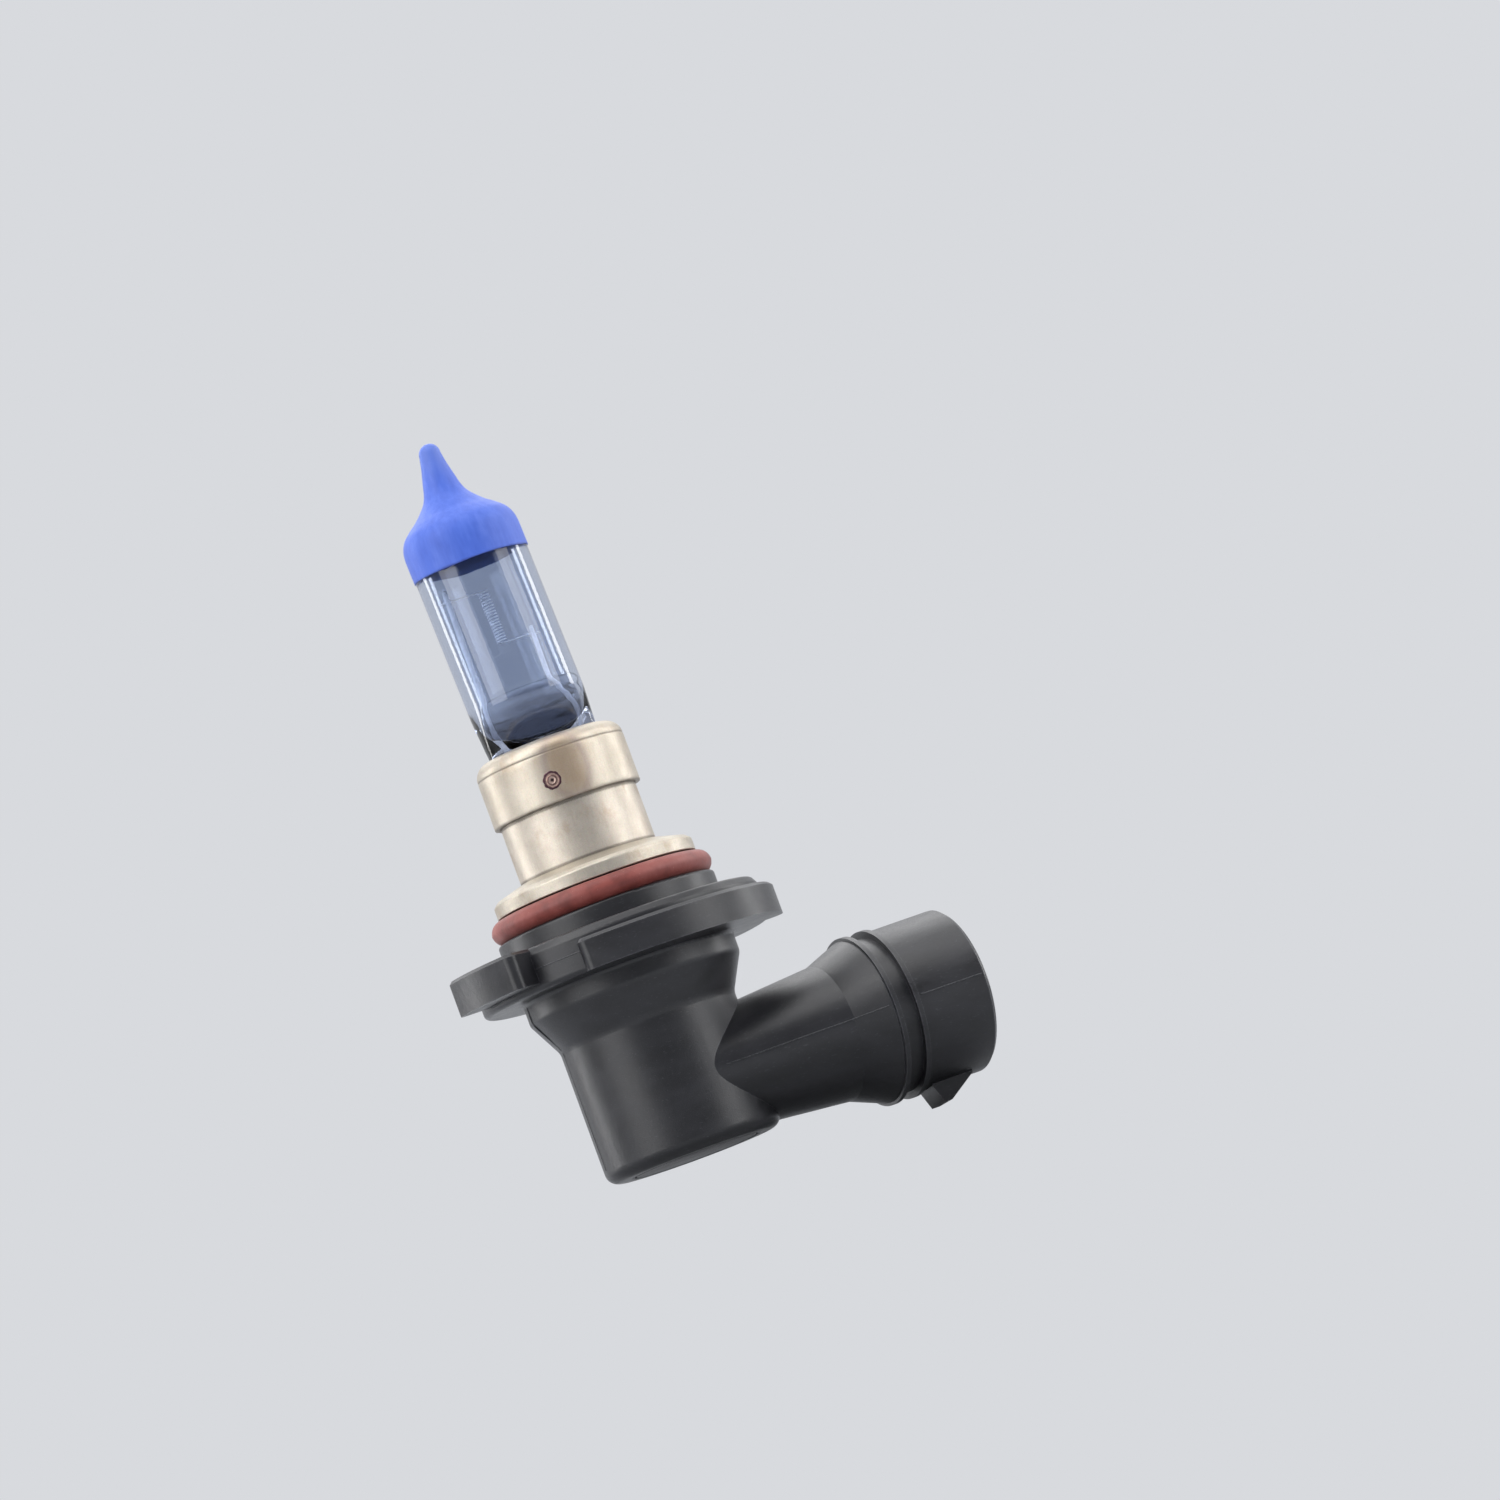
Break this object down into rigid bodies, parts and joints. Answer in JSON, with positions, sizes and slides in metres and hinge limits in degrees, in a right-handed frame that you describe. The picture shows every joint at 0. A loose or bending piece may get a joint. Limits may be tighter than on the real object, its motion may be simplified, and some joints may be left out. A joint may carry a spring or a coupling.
{
  "type": "headlight bulb",
  "caption": "Halogen headlight bulb with a quartz capsule, blue coated tip, steel cap, red O-ring and a black right-angle plug base with locking lugs.",
  "frame": {"origin": "on the capsule's axis, in the plane of the lugs' upper faces", "axes": "+Z along the capsule towards its tip, +X the way the plug points"},
  "size_m": [0.0472, 0.0332, 0.0759],
  "materials": {
    "quartz": "clear, faint blue tint",
    "blue_coat": "matte opaque blue",
    "tungsten": "drawn wire",
    "molybdenum": "drawn wire and foil",
    "cap_steel": "satin, warm nickel tone",
    "weld": "heat-tinted weld",
    "seal_rubber": "matte brick red silicone",
    "base_plastic": "black, satin moulded",
    "terminal_metal": "tin plated",
    "resin": "dark sealing resin"
  },
  "bodies": {
    "root": {"glass_envelope": "quartz", "tip_coating": "blue_coat", "filament": "tungsten", "leg_sleeve": "molybdenum", "long_lead": "molybdenum", "short_lead": "molybdenum", "foil_long_side": "molybdenum", "foil_short_side": "molybdenum", "outer_lead_long_side": "molybdenum", "outer_lead_short_side": "molybdenum", "pinch_clip": "cap_steel", "focusing_collar": "cap_steel", "collar_welds": "weld", "base_sleeve": "cap_steel", "cap_ring": "cap_steel", "o_ring": "seal_rubber", "plug_housing": "base_plastic", "terminal_left": "terminal_metal", "terminal_right": "terminal_metal", "terminal_seal": "resin", "back_cap": "base_plastic"}
  },
  "joints": []
}
